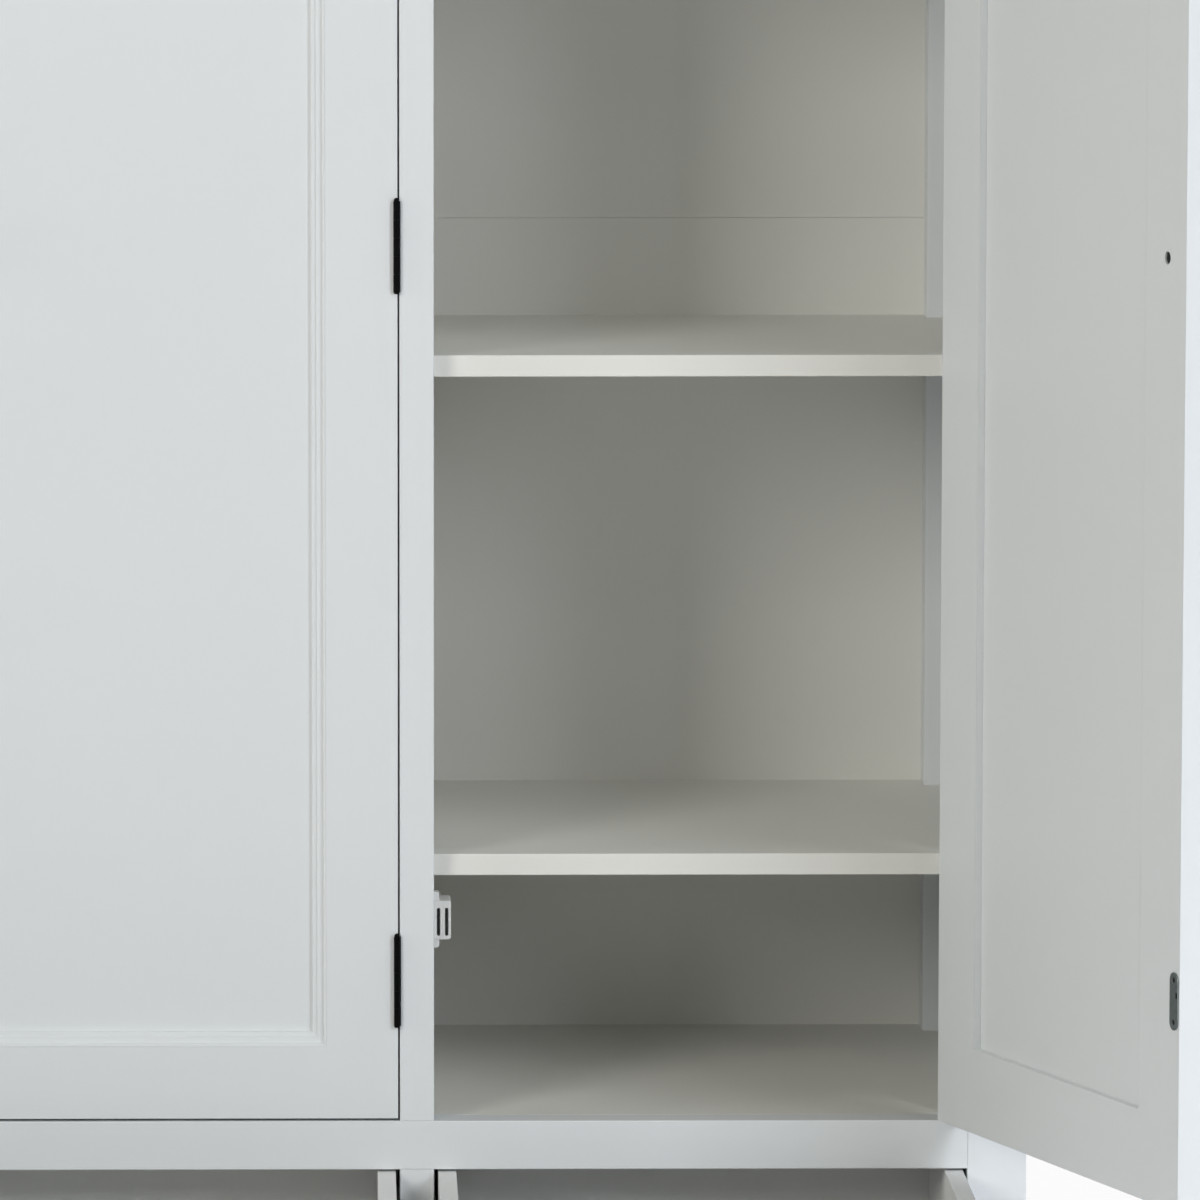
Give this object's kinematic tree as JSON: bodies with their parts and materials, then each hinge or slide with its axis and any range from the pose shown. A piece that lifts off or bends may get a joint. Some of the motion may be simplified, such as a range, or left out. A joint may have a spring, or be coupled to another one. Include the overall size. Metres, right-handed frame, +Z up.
{
  "type": "three-door wardrobe",
  "caption": "Tall painted wardrobe with framed panel doors on butt hinges, a shelved bay beside a hanging bay, two drawers below, a plinth and a coved cornice",
  "frame": {"origin": "On the floor, at the centre of the carcass footprint", "axes": "+X to the right seen from the front, the doors face -Y, +Z up"},
  "size_m": [1.6103, 0.9246, 1.9],
  "materials": {
    "white_paint": "satin white paint on solid wood",
    "inner_paint": "satin off-white paint on board",
    "drawer_paint": "satin white paint on the drawer boxes",
    "runner_wood": "bare planed wood",
    "black_metal": "black coated steel",
    "zinc_steel": "zinc plated steel",
    "rail_chrome": "bright plated tube",
    "white_plastic": "moulded white plastic"
  },
  "bodies": {
    "carcass": {"left_front_post": "white_paint", "right_front_post": "white_paint", "left_back_post": "white_paint", "right_back_post": "white_paint", "door_mullion": "white_paint", "drawer_mullion": "white_paint", "top_rail": "white_paint", "mid_rail": "white_paint", "bottom_rail": "white_paint", "back_rails": "inner_paint", "left_side": "white_paint", "right_side": "white_paint", "bay_partition": "inner_paint", "drawer_divider": "inner_paint", "back_sheet_upper": "inner_paint", "back_sheet_lower": "inner_paint", "roof_board": "white_paint", "cornice": "white_paint", "plinth": "white_paint", "bay_floor": "inner_paint", "base_board": "inner_paint", "shelf_low": "inner_paint", "shelf_middle": "inner_paint", "shelf_high": "inner_paint", "shelf_cleats": "inner_paint", "hat_shelf": "inner_paint", "hanging_rail": "rail_chrome", "rail_sockets": "rail_chrome", "drawer_runners": "runner_wood", "catch_bodies": "white_plastic", "catch_poles": "zinc_steel", "hinge_frame_leaves": "black_metal", "hinge_pins": "black_metal"},
    "left_door": {"left_door_frame": "white_paint", "left_door_panel": "white_paint", "left_door_moulding": "white_paint", "left_door_hinge_leaves": "black_metal", "left_door_knob": "black_metal", "left_door_keeper": "zinc_steel"},
    "centre_door": {"centre_door_frame": "white_paint", "centre_door_panel": "white_paint", "centre_door_moulding": "white_paint", "centre_door_hinge_leaves": "black_metal", "centre_door_knob": "black_metal", "centre_door_keeper": "zinc_steel"},
    "right_door": {"right_door_frame": "white_paint", "right_door_panel": "white_paint", "right_door_moulding": "white_paint", "right_door_hinge_leaves": "black_metal", "right_door_knob": "black_metal", "right_door_keeper": "zinc_steel"},
    "wide_drawer": {"wide_drawer_front": "white_paint", "wide_drawer_box": "drawer_paint", "wide_drawer_bottom": "drawer_paint", "wide_drawer_knobs": "black_metal"},
    "narrow_drawer": {"narrow_drawer_front": "white_paint", "narrow_drawer_box": "drawer_paint", "narrow_drawer_bottom": "drawer_paint", "narrow_drawer_knobs": "black_metal"}
  },
  "joints": [
    {"name": "left_door_hinge", "type": "hinge", "parent": "carcass", "child": "left_door", "pos_m": [-0.6788, -0.25295, 0.365], "axis": [0, 0, -1], "range_deg": [0, 150]},
    {"name": "centre_door_hinge", "type": "hinge", "parent": "carcass", "child": "centre_door", "pos_m": [0.20587, -0.25295, 0.365], "axis": [0, 0, 1], "range_deg": [0, 140]},
    {"name": "right_door_hinge", "type": "hinge", "parent": "carcass", "child": "right_door", "pos_m": [0.6788, -0.25295, 0.365], "axis": [0, 0, 1], "range_deg": [-110.5, 39.5]},
    {"name": "wide_drawer_slide", "type": "slide", "parent": "carcass", "child": "wide_drawer", "axis": [0, -1, 0], "range_m": [-0.26, 0.07]},
    {"name": "narrow_drawer_slide", "type": "slide", "parent": "carcass", "child": "narrow_drawer", "axis": [0, -1, 0], "range_m": [-0.26, 0.07]}
  ]
}
